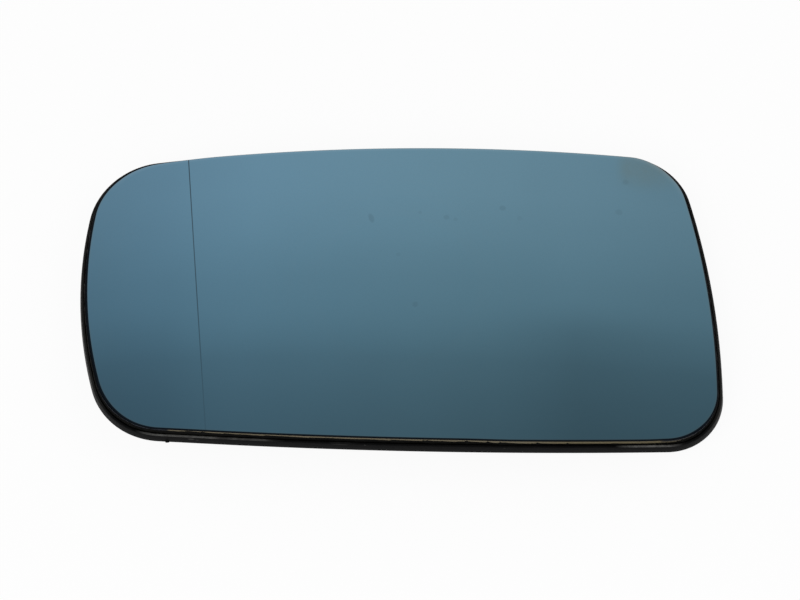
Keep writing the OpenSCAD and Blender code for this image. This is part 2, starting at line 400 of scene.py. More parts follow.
class Tree:
    """The nodes of a material or world, with a short call for each kind of node."""

    def __init__(self, owner):
        owner.use_nodes = True
        self.owner = owner
        self.nodes = owner.node_tree.nodes
        self.links = owner.node_tree.links

    def node(self, kind, *values, **settings):
        """A node with these settings, and with these values or links in its first inputs."""
        made = self.nodes.new(kind)
        for key, value in settings.items():
            setattr(made, key, value)
        for socket, value in zip(made.inputs, values):
            self.set(socket, value)
        return made

    def set(self, socket, value):
        if isinstance(value, bpy.types.NodeSocket):
            self.links.new(value, socket)
        else:
            socket.default_value = value

    def math(self, operation, *values):
        return self.node("ShaderNodeMath", *values, operation=operation).outputs[0]

    def range(self, value, low, high, to_low=0.0, to_high=1.0, kind="SMOOTHSTEP"):
        return self.node("ShaderNodeMapRange", value, low, high, to_low, to_high,
                         interpolation_type=kind).outputs[0]

    def table(self, value, rows, column=1):
        """A grey that follows one column of a table in straight runs. The first column is the place."""
        low, high = rows[0][0], rows[-1][0]
        made = self.node("ShaderNodeValToRGB", self.range(value, low, high, kind="LINEAR"))
        elements = made.color_ramp.elements
        for row in rows[1:-1]:
            elements.new((row[0] - low) / (high - low))
        for element, row in zip(elements, rows):
            element.color = (*(row[column],) * 3, 1)
        return made.outputs[0]

    def mix(self, share, a, b, blend="MIX"):
        made = self.node("ShaderNodeMix", share, data_type="RGBA", blend_type=blend)
        for socket, value in zip([s for s in made.inputs if s.type == "RGBA"], (a, b)):
            self.set(socket, value if isinstance(value, bpy.types.NodeSocket) else (*value, 1))
        return [s for s in made.outputs if s.type == "RGBA"][0]

    def noise(self, vector, scale, detail=2.0, roughness=0.5):
        made = self.node("ShaderNodeTexNoise", vector)
        for key, value in (("Scale", scale), ("Detail", detail), ("Roughness", roughness)):
            made.inputs[key].default_value = value
        return made.outputs["Fac"]

    def stretched(self, vector, scale):
        return self.node("ShaderNodeVectorMath", vector, scale, operation="MULTIPLY").outputs[0]

    def millimetres(self):
        """The object's own coordinates in millimetres, as a vector and as X, Y and Z."""
        place = self.node("ShaderNodeTexCoord").outputs["Object"]
        vector = self.stretched(place, (1 / MM,) * 3)
        return vector, *self.node("ShaderNodeSeparateXYZ", vector).outputs

    def product(self, first, *others):
        for value in others:
            first = self.math("MULTIPLY", first, value)
        return first

    def weighed(self, a, of_a, b, of_b):
        """The sum of two values, each times a number."""
        return self.math("MULTIPLY_ADD", a, of_a, self.math("MULTIPLY", b, of_b))

    def from_middle(self, x, y, middle, half, turn=0.0):
        """Distance from the middle of an ellipse, which may be turned: 1 on the ellipse itself."""
        dx = self.math("SUBTRACT", x, middle[0])
        dy = self.math("SUBTRACT", y, middle[1])
        along = self.weighed(dx, cos(turn) / half[0], dy, sin(turn) / half[0])
        up = self.weighed(dy, cos(turn) / half[1], dx, -sin(turn) / half[1])
        return self.math("SQRT", self.math("ADD", self.product(along, along), self.product(up, up)))

    def attribute(self, name):
        return self.node("ShaderNodeAttribute", attribute_name=name).outputs["Fac"]

    def shader(self):
        return self.nodes["Principled BSDF"]

    def surface(self, colour, roughness, height=None, depth=0.0):
        """Sets colour, roughness and relief on the shader, and gives back the material."""
        sockets = self.shader().inputs
        self.set(sockets["Base Color"], colour)
        self.set(sockets["Roughness"], roughness)
        if height is not None:
            bump = self.node("ShaderNodeBump")
            self.set(bump.inputs["Height"], height)
            bump.inputs["Distance"].default_value = depth * MM
            self.set(sockets["Normal"], bump.outputs[0])
        return self.owner


def material(name, **constants):
    """The tree of a new material, with constants set on its shader's own sockets."""
    tree = Tree(bpy.data.materials.new(name))
    for key, value in constants.items():
        tree.shader().inputs[key.replace("_", " ")].default_value = value
    return tree


def times(colour, by):
    return tuple(c * b for c, b in zip(colour, by))


# Materials of the glass

BLUE = (0.225, 0.49, 0.66)
# Tints under grease, of a painted highlight along the edge of the face, and of a painted highlight near the
# top edge
HAZE_TINT = (1.10, 0.91, 0.81)
EDGE_HIGHLIGHT_TINT = (1.18, 0.98, 0.90)
TOP_HIGHLIGHT_TINT = (1.30, 1.14, 1.10)
# Share of the face's last ring at which the painted highlight along the edge starts
EDGE_HIGHLIGHT_STARTS = 0.75
# Where the painted highlight of the top edge begins along Y
TOP_BEGINS = (30.0, 40.0)
# Dark line: where it fades out from its middle, and how far inward it lies from where the two radii meet
LINE_FADES = (0.084, 0.21)
LINE_INWARD = 0.23
# Place along Y, and how much darker the line is there
LINE_FADE = (
    (-48.0, 0.12), (-36.0, 0.19), (-28.0, 0.29), (-20.0, 0.42), (-8.0, 0.56),
    (4.0, 0.60), (14.0, 0.60), (24.0, 0.68), (48.0, 0.80),
)
# Patch of grease in the upper inner corner: its middle, half sizes, and where it starts along X
HAZE_PLACE = (73.0, 43.0)
HAZE_HALF = (15.0, 8.0)
HAZE_START = (63.3, 67.7)
# Faint marks: place, half size, tilt in degrees and depth
MARKS = (
    (-8.4, 22.6, 0.8, 1.6, 18, 0.14),
    (6.0, 24.9, 0.55, 0.55, 0, 0.07),
    (13.8, 23.4, 0.9, 0.8, 0, 0.10),
    (16.5, 22.8, 0.65, 0.65, 0, 0.06),
    (30.4, 27.1, 1.0, 0.9, 0, 0.11),
    (35.4, 23.8, 0.8, 0.8, 0, 0.05),
    (65.0, 27.2, 1.1, 1.0, 0, 0.09),
    (67.4, 37.8, 1.0, 0.9, 0, 0.10),
    (-0.2, 10.5, 0.65, 0.65, 0, 0.06),
    (5.1, -5.8, 0.8, 0.9, 0, 0.10),
)


def line_and_marks(tree, x, y):
    """How much darker the face is on the dark line and on the faint marks."""
    across = tree.weighed(x, cos(ZONE_LEAN), y, sin(ZONE_LEAN))
    from_line = tree.math("ABSOLUTE", tree.math("SUBTRACT", across, ZONE_U + LINE_INWARD))
    on_line = tree.range(from_line, *LINE_FADES, 1.0, 0.0)
    dark = tree.product(on_line, tree.table(y, LINE_FADE))
    for mark_x, mark_y, half_x, half_y, tilt, depth in MARKS:
        away = tree.from_middle(x, y, (mark_x, mark_y), (half_x, half_y), radians(tilt))
        dark = tree.math("ADD", dark, tree.range(away, 0.55, 1.35, depth, 0.0))
    return dark


def grease(tree, vector, x, y):
    """Share from 0 to 1 of the greasy haze."""
    away = tree.from_middle(x, y, HAZE_PLACE, HAZE_HALF)
    cloud = tree.noise(vector, 0.12, 3.0, 0.6)
    return tree.product(tree.range(away, 0.1, 1.3, 1.0, 0.0), tree.range(cloud, 0.2, 0.6, 0.5, 1.0),
                        tree.range(x, *HAZE_START))


def coated_glass():
    """Blue mirror coating, slightly uneven in broad patches and in a fine grain, with a painted highlight
    along its edge that is paler near the top edge.
    """
    tree = material("coated_glass_face", Metallic=1.0, Coat_Weight=0.6, Coat_Roughness=0.02,
                    Coat_IOR=1.52)
    vector, x, y, _ = tree.millimetres()
    haze = grease(tree, vector, x, y)
    tone = tree.range(tree.noise(vector, 0.035), 0.3, 0.7, 0.985, 1.015, "LINEAR")
    grain = tree.range(tree.noise(vector, 1.6, 3.0, 0.7), 0.25, 0.75, 0.985, 1.015, "LINEAR")
    level = tree.product(tree.math("SUBTRACT", 1.0, line_and_marks(tree, x, y)), tone, grain)
    border = tree.attribute("coating_edge")
    # Painted highlight near the top edge of the face
    pale = tree.product(tree.range(border, 0.1, 1.0), tree.range(y, *TOP_BEGINS))
    colour = tree.mix(haze, BLUE, times(BLUE, HAZE_TINT))
    # Painted highlight along the edge of the face, then the paler painted highlight near the top edge
    colour = tree.mix(tree.range(border, EDGE_HIGHLIGHT_STARTS, 1.0), colour, EDGE_HIGHLIGHT_TINT, "MULTIPLY")
    colour = tree.mix(pale, colour, TOP_HIGHLIGHT_TINT, "MULTIPLY")
    colour = tree.mix(1.0, colour, level, "MULTIPLY")
    return tree.surface(colour, tree.math("MULTIPLY_ADD", haze, 0.10, 0.025))


# Stretches along Y and X over which the painted light on the bevel starts and ends
ARRIS_LIT_ABOVE = (30.0, 39.0)
ARRIS_LIT_FROM = (-71.0, -57.0)
ARRIS_LIT_TO = (75.5, 80.5)


def ground_arris():
    """Ground bevel: a painted dark reflection, bluish next to the face, and painted lighter along the top,
    where light comes through.
    """
    tree = material("ground_arris", Specular_IOR_Level=0.02)
    vector, x, y, _ = tree.millimetres()
    grind = tree.noise(vector, 3.0, 4.0, 0.6)
    # Painted dark reflection, bluish next to the face and nearly black below
    painted_dark = tree.mix(tree.attribute("coating_edge"), (0.0012, 0.0016, 0.0022), (0.0058, 0.0105, 0.0170))
    painted_dark = tree.mix(tree.range(grind, 0.3, 0.7, 0.0, 0.35), painted_dark, (0.0030, 0.0042, 0.0058))
    # Painted light along the top of the bevel
    painted_light = tree.mix(grind, (0.10, 0.15, 0.18), (0.17, 0.23, 0.26))
    top = tree.product(tree.range(y, *ARRIS_LIT_ABOVE), tree.range(x, *ARRIS_LIT_FROM),
                       tree.range(x, *ARRIS_LIT_TO, 1.0, 0.0))
    return tree.surface(tree.mix(top, painted_dark, painted_light), tree.range(grind, 0.2, 0.8, 0.5, 0.7), grind, 0.02)


# The ground edge is painted tan where light falls on it along the bottom, and painted navy as shade
# elsewhere.
# Along X the painted light starts, yellows and ends over these stretches, and a faint painted streak of
# light goes on round the corner, low on the edge, and fades
EDGE_LIT_TAN = (0.165, 0.145, 0.098)
EDGE_SHADE_NAVY = (0.012, 0.015, 0.022)
EDGE_LIT_FROM = (-66.5, -61.5)
YELLOW_FROM = (34.0, 50.0)
EDGE_LIT_TO = (73.0, 78.0)
LIT_STREAK_FADES = (77.5, 88.0)
LIT_STREAK_LEVEL = 0.6


def lit_edge_share(tree, x, y, streak):
    """Share of painted light on the edge, the painted streak of light round the corner included."""
    start = tree.range(x, *EDGE_LIT_FROM)
    lit_bottom = tree.product(start, tree.range(x, *EDGE_LIT_TO, 1.0, 0.0), tree.range(y, -32.0, -36.0))
    lit_bottom = tree.range(tree.math("ADD", lit_bottom, tree.math("MULTIPLY_ADD", streak, 0.5, -0.25)), 0.35, 0.75)
    # Painted streak of light round the corner
    corner = tree.product(tree.range(x, *LIT_STREAK_FADES, LIT_STREAK_LEVEL, 0.0), start,
                          tree.range(y, -20.0, -32.0), tree.range(tree.attribute("edge_down"), 0.25, 0.5))
    return tree.math("MAXIMUM", lit_bottom, corner)


def ground_edge():
    """Rough ground edge of the glass, streaked along its length, with painted light along the bottom and
    painted shade elsewhere.
    """
    tree = material("ground_edge", Specular_IOR_Level=0.3)
    vector, x, y, _ = tree.millimetres()
    streak = tree.noise(tree.stretched(vector, (0.09, 0.09, 1.6)), 1.0, 4.0, 0.65)
    speck = tree.noise(vector, 2.2, 3.0, 0.6)
    lit_tan = tree.mix(streak, times(EDGE_LIT_TAN, (0.62, 0.60, 0.56)), times(EDGE_LIT_TAN, (1.25, 1.25, 1.3)))
    lit_tan = tree.mix(tree.range(speck, 0.35, 0.65, 0.0, 0.5), lit_tan, times(EDGE_LIT_TAN, (0.7, 0.66, 0.6)))
    lit_tan = tree.mix(tree.range(x, *YELLOW_FROM), lit_tan, (0.86, 0.84, 0.72), "MULTIPLY")
    # Painted light in tan along the bottom, painted shade in navy elsewhere
    colour = tree.mix(lit_edge_share(tree, x, y, streak), EDGE_SHADE_NAVY, lit_tan)
    return tree.surface(colour, tree.range(speck, 0.3, 0.7, 0.45, 0.7), speck, 0.03)


def back_paint():
    tree = material("back_paint", Specular_IOR_Level=0.4)
    spread = tree.noise(tree.millimetres()[0], 0.5, 4.0, 0.6)
    grey = tree.mix(spread, (0.05, 0.055, 0.06), (0.08, 0.085, 0.09))
    return tree.surface(grey, tree.range(spread, 0.3, 0.7, 0.35, 0.55))


# Other materials

def moulded_black(tree, vector, deep, mid, pale):
    """Fine grain and broad cloud of a moulding, and a black of three tones that follows both."""
    grain = tree.noise(vector, 2.6, 3.0, 0.65)
    cloud = tree.noise(vector, 0.16, 3.0, 0.6)
    black = tree.mix(tree.range(grain, 0.4, 0.75, 0.0, 0.4), tree.mix(cloud, deep, mid), pale)
    return grain, cloud, black


def grained_surface(tree, colour, grain):
    return tree.surface(colour, tree.range(grain, 0.25, 0.75, 0.42, 0.62), grain, 0.035)


def satin_plastic():
    """Black plastic with a fine moulded grain."""
    tree = material("satin_plastic", Specular_IOR_Level=0.22)
    grain, _, black = moulded_black(tree, tree.millimetres()[0], (0.0045, 0.0046, 0.0048),
                                    (0.0095, 0.0095, 0.0098), (0.013, 0.013, 0.0135))
    return grained_surface(tree, black, grain)


# Scuffs on the rim along the bottom: place along X and Z, half sizes and strength
SCUFFS = (
    (-57.3, 10.7, 0.9, 0.3, 0.30),
    (-55.6, 10.5, 0.5, 0.2, 0.20),
    (-8.2, 12.4, 0.22, 0.18, 0.28),
    (-8.6, 10.4, 0.7, 0.2, 0.22),
    (-15.0, 12.3, 2.6, 0.2, 0.10),
    (31.0, 11.8, 0.3, 0.2, 0.12),
)


def scuffed(tree, highlight_and_scuffs, x, y, z):
    """The share of the lip's painted highlight with the scuffs, which lie on the bottom side only."""
    for scuff_x, scuff_z, half_x, half_z, strength in SCUFFS:
        away = tree.from_middle(x, z, (scuff_x, scuff_z), (half_x, half_z))
        low = tree.range(y, -38.0, -42.0, 0.0, strength)
        highlight_and_scuffs = tree.math("MAXIMUM", highlight_and_scuffs, tree.product(low, tree.range(away, 0.5, 1.3, 1.0, 0.0)))
    return highlight_and_scuffs


def matt_plastic():
    """Plastic of the rim, paler away from the bottom side. The mesh says where a highlight is painted on
    its lip.
    """
    tree = material("matt_plastic", Specular_IOR_Level=0.05)
    vector, x, y, z = tree.millimetres()
    grain, cloud, black = moulded_black(tree, vector, (0.0016, 0.0016, 0.0017),
                                        (0.0046, 0.0046, 0.0048), (0.0065, 0.0065, 0.0068))
    patch = tree.range(tree.noise(tree.stretched(vector, (0.35, 0.35, 1.0)), 1.0, 4.0, 0.7), 0.35, 0.65)
    # Painted highlight on the lip, broken up in patches
    highlight_and_scuffs = tree.product(tree.attribute("painted_lip_highlight"), tree.math("MULTIPLY_ADD", patch, 0.45, 0.55))
    # Away from the bottom side the rim is a paler grey, and along the bottom it stays darker
    paler_grey = tree.mix(cloud, (0.010, 0.010, 0.0095), (0.022, 0.022, 0.0205))
    black = tree.mix(tree.range(y, -42.0, -32.0), black, paler_grey)
    # Grey of the lip's painted highlight and of the scuffs
    colour = tree.mix(scuffed(tree, highlight_and_scuffs, x, y, z), black, (0.112, 0.111, 0.106))
    return grained_surface(tree, colour, grain)


def black_adhesive():
    tree = material("black_adhesive", Specular_IOR_Level=0.07)
    lumps = tree.noise(tree.millimetres()[0], 1.1, 4.0, 0.65)
    black = tree.mix(lumps, (0.0012, 0.0012, 0.0011), (0.0036, 0.0036, 0.0032))
    return tree.surface(black, tree.range(lumps, 0.3, 0.7, 0.55, 0.85), lumps, 0.08)


def amber_film():
    """Polyimide film with the heater's track printed back and forth across it."""
    tree = material("amber_film", Specular_IOR_Level=0.5)
    vector, _, y, _ = tree.millimetres()
    track = tree.range(tree.math("PINGPONG", y, 1.6), 0.55, 0.7, 1.0, 0.0)
    stain = tree.noise(vector, 0.4, 3.0, 0.6)
    film = tree.mix(stain, (0.30, 0.13, 0.03), (0.42, 0.19, 0.045))
    colour = tree.mix(track, film, (0.26, 0.25, 0.24))
    tree.set(tree.shader().inputs["Metallic"], tree.math("MULTIPLY", track, 0.8))
    return tree.surface(colour, tree.range(stain, 0.3, 0.7, 0.22, 0.35), track, 0.02)


def spring_wire():
    """Drawn steel wire with a few rusty spots."""
    tree = material("spring_wire", Metallic=1.0)
    vector = tree.millimetres()[0]
    draw = tree.noise(tree.stretched(vector, (0.4, 0.4, 9.0)), 1.0, 3.0, 0.6)
    rust = tree.range(tree.noise(vector, 0.7, 4.0, 0.7), 0.62, 0.78, 0.0, 0.6)
    steel = tree.mix(draw, (0.42, 0.43, 0.45), (0.60, 0.61, 0.63))
    rough = tree.math("MULTIPLY_ADD", rust, 0.3, tree.range(draw, 0.3, 0.7, 0.2, 0.34))
    return tree.surface(tree.mix(rust, steel, (0.22, 0.15, 0.10)), rough, draw, 0.01)


def plated_brass():
    """Tin on brass, dull and yellowish in places."""
    tree = material("plated_brass", Metallic=1.0)
    vector = tree.millimetres()[0]
    rolled = tree.noise(tree.stretched(vector, (5.0, 1.0, 0.35)), 1.0, 3.0, 0.6)
    dull = tree.range(tree.noise(vector, 0.5, 3.0, 0.6), 0.45, 0.7, 0.0, 0.5)
    tin = tree.mix(rolled, (0.58, 0.55, 0.47), (0.72, 0.69, 0.60))
    colour = tree.mix(dull, tin, (0.52, 0.42, 0.24))
    return tree.surface(colour, tree.range(rolled, 0.3, 0.7, 0.22, 0.4), rolled, 0.008)


# Glass

RING_COUNT = 26


def scaled(points, share, depth):
    return [(p.x * share, p.y * share, surface_z(p * share, depth)) for p in points]


def sheet(name, rings, top, depth, sides, under, under_depth):
    """A closed sheet: rings out to its top edge, rows down its side, and rings in again below."""
    shares = [1 - (1 - k / rings) ** 1.15 for k in range(1, rings + 1)]
    rows = [scaled(top, share, depth) for share in shares] + sides
    rows += [scaled(under, share, under_depth) for share in reversed(shares)]
    middles = [(0, 0, surface_z((0, 0), z)) for z in (depth, under_depth)]
    return new_object(name, *shell(rows, *middles))


def upward(angle):
    """Share from 0 to 1 by which a side faces the top of the mirror."""
    return max(0.0, sin(angle)) ** 2


def ramp(value, low, high):
    """Share by which a value has gone from low to high, smooth at both ends."""
    t = min(1.0, max(0.0, (value - low) / (high - low)))
    return t * t * (3 - 2 * t)


def stretch(x, rise, fall):
    """Share that rises over one stretch along X and falls over another."""
    return ramp(x, *rise) * (1 - ramp(x, *fall))


def glass_reach(station):
    """How far the edge of the glass lies outside the outline, along the top and the bottom."""
    x, y = raw_point(station)
    if y < 0:
        return NEARER * stretch(x, NEARER_FROM, NEARER_TO)
    return (RIM_GAP - RIM_GAP_TOP) * upward(station[2]) * stretch(x, TOP_FROM, TOP_TO)


def glass_edge(inset):
    """Edge of the glass, moved inward by a function of the station."""
    return [raw_point(s, glass_reach(s) - inset(s)) - MIDDLE for s in FINE]


def arris_in(station):
    """Width of the bevel at a station of the outline."""
    x, y = raw_point(station)
    angle = station[2]
    more = sum(width * max(0.0, cos(angle - turn)) ** power for turn, power, width in ARRIS_MORE)
    if y > 0:
        more += sum(width * stretch(x, rise, fall) for rise, fall, width in ARRIS_UPPER)
    return ARRIS_IN * (1 - ARRIS_TOP_LESS * upward(angle)) + more


def glass_pane():
    """The pane: face, ground arris, ground edge and painted back. The face takes exact normals."""
    edge = glass_edge(lambda station: 0.0)
    sides = [[(p.x, p.y, surface_z(p) - ARRIS_DOWN * (1 - ARRIS_TOP_LESS * upward(s[2])))
              for p, s in zip(edge, FINE)],
             [(p.x, p.y, surface_z(p, GLASS_T) + BACK_ARRIS) for p in edge]]
    obj = sheet("glass_pane", RING_COUNT, glass_edge(arris_in), 0.0, sides,
                glass_edge(lambda station: BACK_ARRIS), GLASS_T)
    clad(obj, coated_glass(), ground_arris(), ground_edge(), back_paint())
    smooth(obj, 30)
    count = len(FINE)
    normals = []
    for face in obj.data.polygons:
        part = min(3, max(0, face.index // count - RING_COUNT + 1))
        face.material_index = part
        normals.extend((0, 0, 0) if part else face_normal(obj.data.vertices[i].co / MM)
                       for i in face.vertices)
    obj.data.normals_split_custom_set(normals)
    rim, below = (RING_COUNT - 1) * count, (RING_COUNT + 1) * count
    mark_points(obj, "coating_edge", {i: 1.0 for i in range(rim, rim + count)})
    mark_points(obj, "edge_down", {i: 1.0 for i in range(below, below + count)})
    add(obj, "coated_glass", "mirror_glass")


# Adhesive bead

BEAD_SEED = 11
BEAD_FOOT = 3.0
# It starts this far inside the edge of the glass, so that no gap shows
BEAD_INSIDE = 0.03
# Width of the bead: the least, what its waves add at most, and their length
BEAD_WIDTH = 0.30
BEAD_WIDER = 0.26
BEAD_WIDTH_WAVE = 3.0
# Place along X, and the depth below the face at which the adhesive starts there along the bottom
BEAD_TOPS = (
    (-84.0, 1.10), (-50.0, 1.22), (-36.0, 1.36), (-8.0, 1.28), (18.0, 1.40),
    (30.0, 1.60), (40.0, 1.95), (72.0, 1.98), (80.0, 1.75), (88.0, 1.40),
)
BEAD_ELSEWHERE = 1.1
BEAD_HIGHEST = 0.6
# Added depth that makes up for the steps
BEAD_SINK = 0.12
# Steps and nicks: their chance at a station, their height and how much of it is left at the next station
STEP_CHANCE = 0.05
STEP_HEIGHT = (0.25, 0.60)
STEP_LEFT = 0.93
NICK_CHANCE = 0.06
NICK_DEPTH = 0.75
NICK_LEFT = 0.45
# Waves of the top: height and length of the long and of the short ones
WAVES = ((0.60, 4.6), (0.24, 1.7))


def ragged(place, size, seed):
    """Smooth noise from 0 to 1 along the outline."""
    return 0.5 + 0.5 * noise.noise(Vector((place / size, seed * 7.31, 0.5)))


def bead_top(p):
    """Depth at which the adhesive starts beside a point, before it is made ragged."""
    for (x0, low), (x1, high) in zip(BEAD_TOPS, BEAD_TOPS[1:]):
        if p.y <= 0 and x0 <= p.x < x1:
            return low + (high - low) * (p.x - x0) / (x1 - x0)
    return BEAD_ELSEWHERE


def bead_section(top, width):
    """Offsets and depths of the bead, from its top over its outside to its foot."""
    return ((-BEAD_INSIDE, top), (0.06, top - 0.02), (width * 0.55, top + 0.30), (width * 0.9, top + 0.62),
            (width, BEAD_FOOT - 0.1), (width * 0.8, BEAD_FOOT), (-BEAD_INSIDE, BEAD_FOOT))


def adhesive_bead(adhesive):
    """Adhesive squeezed up between the glass's edge and the rim, with a ragged top."""
    draw = random.Random(BEAD_SEED)
    rows = []
    place = 0.0
    before = None
    step = nick = 0.0
    for station in BEAD_STATIONS:
        here = raw_point(station)
        place += (here - before).length if before else 0.0
        before = here
        if draw.random() < STEP_CHANCE:
            step = draw.uniform(*STEP_HEIGHT)
        nick = NICK_DEPTH if draw.random() < NICK_CHANCE else nick * NICK_LEFT
        step *= STEP_LEFT
        swell = sum(height * (ragged(place, length, k) - 0.5)
                    for k, (height, length) in enumerate(WAVES, 1))
        top = max(BEAD_HIGHEST, bead_top(here - MIDDLE) + BEAD_SINK - step + swell - nick)
        start = glass_reach(station)
        width = BEAD_WIDTH + BEAD_WIDER * ragged(place, BEAD_WIDTH_WAVE, len(WAVES) + 1)
        width *= min(1.0, (RIM_GAP - start) / RIM_GAP + 0.1)
        row = []
        for offset, depth in bead_section(top, width):
            p = raw_point(station, start + offset) - MIDDLE
            row.append((p.x, p.y, surface_z(p) - min(depth, BEAD_FOOT)))
        rows.append(row)
    dress(loft("adhesive_bead", rows, wrap=True), 50, adhesive, "black_adhesive")


# Backing plate

ROUND_STEPS = 3
FLOOR_RINGS = 14
# Stretches of painted highlight on the lip along the bottom: start and end along X, and how bright
LIP_HIGHLIGHT = ((-73.0, -47.0, 0.85), (-50.0, -33.0, 0.55), (-18.5, -11.0, 0.10), (63.0, 81.5, 1.0))
LIP_HIGHLIGHT_BELOW = -30.0
LIP_HIGHLIGHT_FADE = 4.0
# Windows round the blades: radius of their corners, and the heights between which they are cut
WINDOW_ROUND = 0.6
WINDOW_CUT = (20.0, 4.0)


def rounded(corner, start, end):
    """Points of a quarter round from start to end, about the corner that it takes off."""
    made = []
    for k in range(ROUND_STEPS + 1):
        a = pi / 2 * k / ROUND_STEPS
        made.append(tuple(c + (s - c) * (1 - sin(a)) + (e - c) * (1 - cos(a))
                          for c, s, e in zip(corner, start, end)))
    return made


def rim_section():
    """Offsets and depths from the lip's inner wall, over the lip, to the floor's underside."""
    e = RIM_EDGE
    slope = (RIM_OUT - LIP_OUT) / (RIM_FOOT - LIP_BELOW)
    section = [(RIM_GAP, FLOOR_TOP - 0.25)]
    section += rounded((RIM_GAP, LIP_BELOW), (RIM_GAP, LIP_BELOW + e), (RIM_GAP + e, LIP_BELOW))
    section += rounded((LIP_OUT, LIP_BELOW), (LIP_OUT - e, LIP_BELOW), (LIP_OUT + slope * e, LIP_BELOW + e))
    section += rounded((RIM_OUT, RIM_FOOT), (RIM_OUT - slope * e, RIM_FOOT - e), (RIM_OUT - e, RIM_FOOT))
    section += [(FLOOR_OUT + 0.2, RIM_FOOT), (FLOOR_OUT, RIM_FOOT + 0.15), (FLOOR_OUT, FLOOR_BOTTOM - 0.2)]
    return section


def window_cutters():
    """Boxes that open the floor around each terminal's blade."""
    half_x = BLADE_HALF_W + WINDOW_GAP - WINDOW_ROUND
    half_y = BLADE_T / 2 + WINDOW_GAP - WINDOW_ROUND
    cutters = []
    for side in (-1, 1):
        x = TERMINAL_X + side * TERMINAL_PITCH / 2
        plan = []
        for cx, cy, start in ((1, 1, 0), (-1, 1, 90), (-1, -1, 180), (1, -1, 270)):
            for k in range(5):
                a = radians(start + 90 * k / 4)
                plan.append((x + cx * half_x + WINDOW_ROUND * cos(a),
                             TERMINAL_Y + cy * half_y + WINDOW_ROUND * sin(a)))
        rows = [[(px, py, z) for px, py in plan] for z in WINDOW_CUT]
        cutters.append(loft("window_cutter", rows))
    return cutters


# Strength of the painted highlight on the lip at a place along X
def lip_highlight_at(x):
    level = 0.0
    for start, end, strength in LIP_HIGHLIGHT:
        inside = [min(1.0, max(0.0, into / LIP_HIGHLIGHT_FADE)) for into in (x - start, end - x)]
        level = max(level, inside[0] * inside[1] * strength)
    return level


def moulding(matt, satin):
    """The plate's floor and rim, swept round the outline. Faces that point down are satin."""
    sides = [[(p.x, p.y, surface_z(p) - depth) for p in outline(offset)] for offset, depth in rim_section()]
    obj = sheet("plate_moulding", FLOOR_RINGS, outline(RIM_GAP), FLOOR_TOP, sides,
                outline(FLOOR_OUT - 0.2), FLOOR_BOTTOM)
    # Levels of the painted highlight at the lip's points along the bottom
    highlight_and_scuffs = {}
    for row in range(2, 2 * ROUND_STEPS + 1):
        for i, (x, y, _) in enumerate(sides[row]):
            if y <= LIP_HIGHLIGHT_BELOW:
                highlight_and_scuffs[(FLOOR_RINGS + row) * len(FINE) + i] = lip_highlight_at(x)
    mark_points(obj, "painted_lip_highlight", highlight_and_scuffs)
    cut(obj, window_cutters())
    smooth(obj, 32)
    clad(obj, matt, satin)
    for face in obj.data.polygons:
        face.material_index = 1 if face.normal.z < -0.6 else 0
    add(obj, "black_plastic", "backing_plate")


# Stub that the mould's gate left on the rim: place along X, length, height and how far it stands out
GATE_X = -64.2
GATE_LENGTH = 1.2
GATE_HEIGHT = 0.8
GATE_OUT = 0.32
# Its shape from end to end: place, and shares of how far it stands out and of its height
GATE_SHAPE = ((-1.0, 0.55, 0.6), (-0.7, 0.95, 0.9), (0.1, 1.0, 1.0), (0.75, 0.8, 0.85), (1.0, 0.5, 0.5))
# How far it is sunk into the rim, and how far its lower edge rises outward
GATE_SUNK = 0.3
GATE_RISE = 0.1


def gate_stub(plastic):
    """A small broken stub at the foot of the rim."""
    foot = outline(RIM_OUT - GATE_SUNK, BEAD_STATIONS)
    here = min((p for p in foot if p.y < 0), key=lambda p: abs(p.x - GATE_X))
    out = Vector((-face_normal(here).x, -1.0)).normalized()
    side = left_of(out)
    low = surface_z(here) - RIM_FOOT + GATE_RISE
    rows = []
    for place, reach_out, up in GATE_SHAPE:
        start = here + side * (place * GATE_LENGTH / 2)
        tip = start + out * (GATE_SUNK + GATE_OUT * reach_out)
        high = low + GATE_HEIGHT * up
        tip_low = low + GATE_RISE
        tip_high = tip_low + 0.55 * (high - tip_low)
        rows.append([(start.x, start.y, low), (tip.x, tip.y, tip_low), (tip.x, tip.y, tip_high),
                     (start.x, start.y, high)])
    obj = loft("gate_stub", rows)
    bevel(obj, 0.08)
    dress(obj, 40, plastic, "black_plastic")


FINGER_STEPS = 12
COLLAR_STEPS = 128


def finger(section, centre_angle):
    """A piece of the collar's turned section between two slots with parallel sides."""
    rows = []
    for k in range(FINGER_STEPS + 1):
        row = []
        for r, z in section:
            span = pi / SLOT_COUNT - asin(SLOT_HALF / r)
            a = centre_angle - span + 2 * span * k / FINGER_STEPS
            row.append((r * cos(a), r * sin(a), z))
        rows.append(row)
    obj = loft("finger", rows)
    bevel(obj, 0.12)
    return obj


